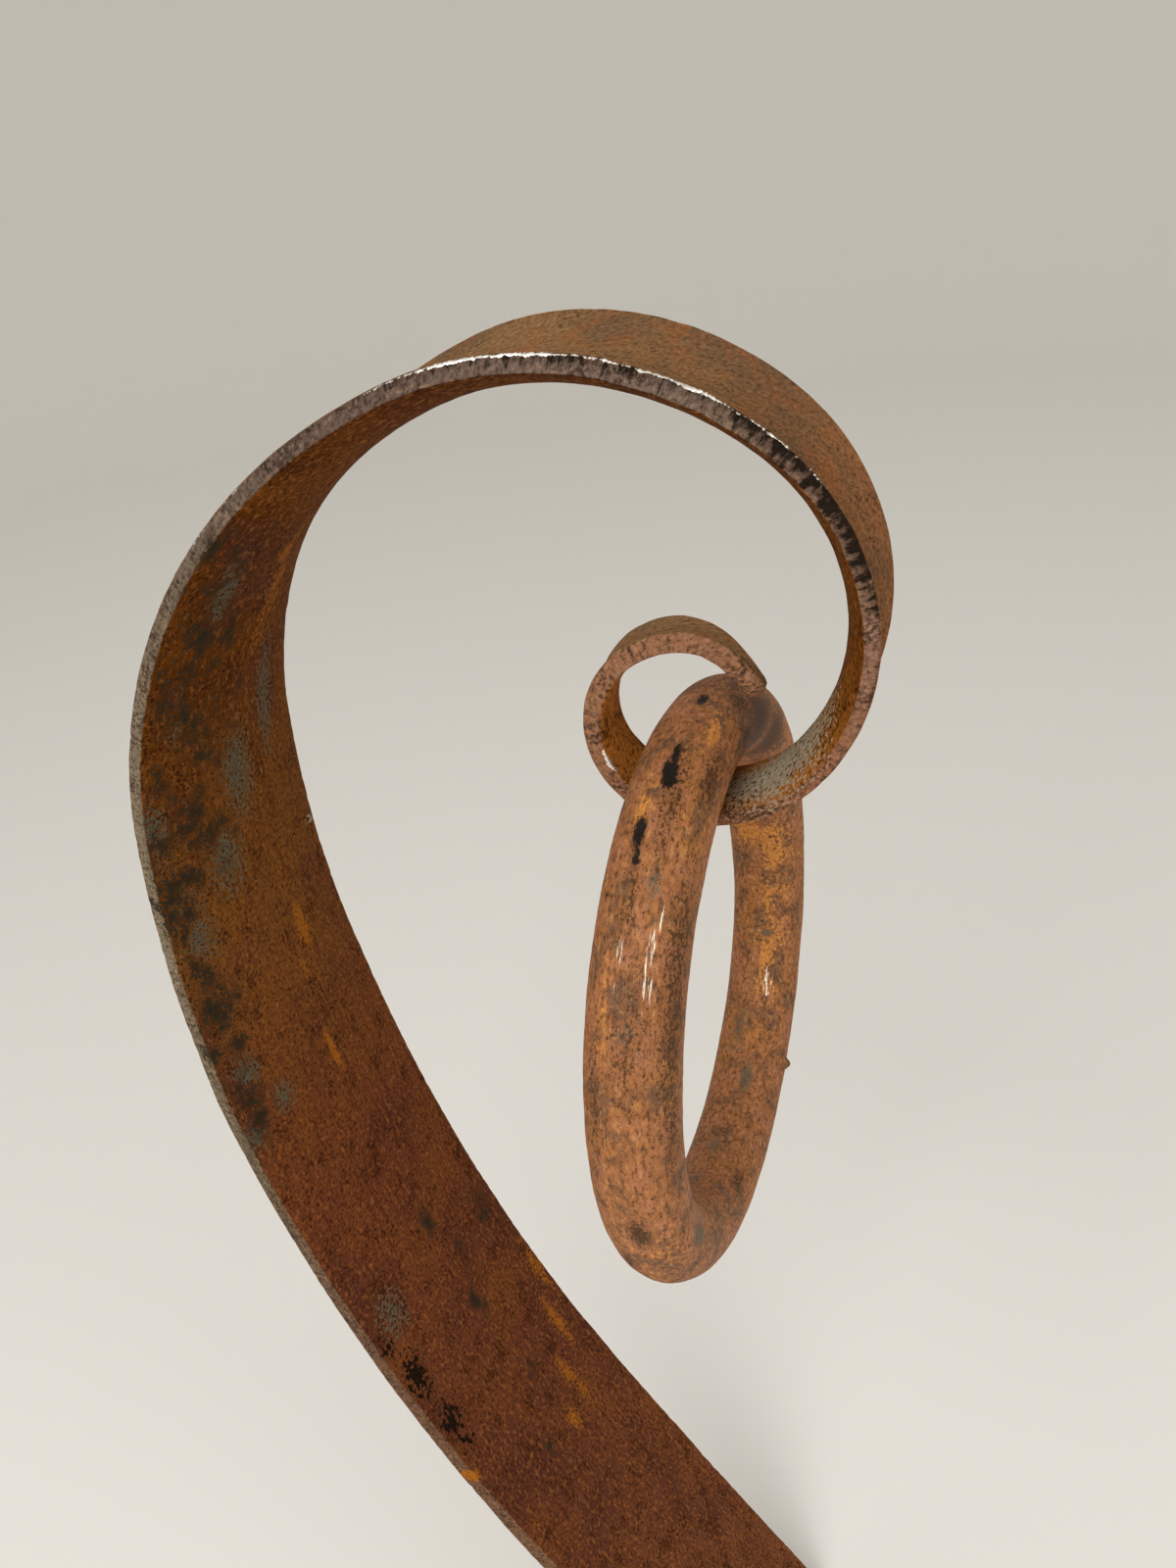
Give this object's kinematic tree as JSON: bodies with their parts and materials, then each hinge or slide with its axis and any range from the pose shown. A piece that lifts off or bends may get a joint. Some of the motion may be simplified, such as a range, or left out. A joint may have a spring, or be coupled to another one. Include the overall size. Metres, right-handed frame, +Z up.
{
  "type": "scrolled strap eye with ring",
  "caption": "Rusted steel strap that rises from a cut foot, tapers and curls over in a scroll ending in a small rolled eye, with a loose round-bar ring hanging in the eye.",
  "frame": {"origin": "middle of the strap's flat-cut foot face", "axes": "+Z up, +X from the leg across the scroll towards its open side, Y across the strap's width; the scroll is symmetric about Y = 0"},
  "size_m": [0.1638, 0.1378, 0.4744],
  "materials": {
    "rusted_strap": "flame-cut and hot-bent mild steel plate, weathered to matt red-brown rust with patches of grey scale",
    "rusted_bar": "round mild steel bar bent to a closed ring, even tan-orange rust with dark pits"
  },
  "bodies": {
    "strap": {"strap": "rusted_strap"},
    "ring": {"ring": "rusted_bar"}
  },
  "joints": [
    {"name": "ring_swing", "type": "hinge", "parent": "strap", "child": "ring", "pos_m": [-0.01555, 0, 0.39085], "axis": [0.0454, 0.999, 0], "range_deg": [-226, 62]}
  ]
}
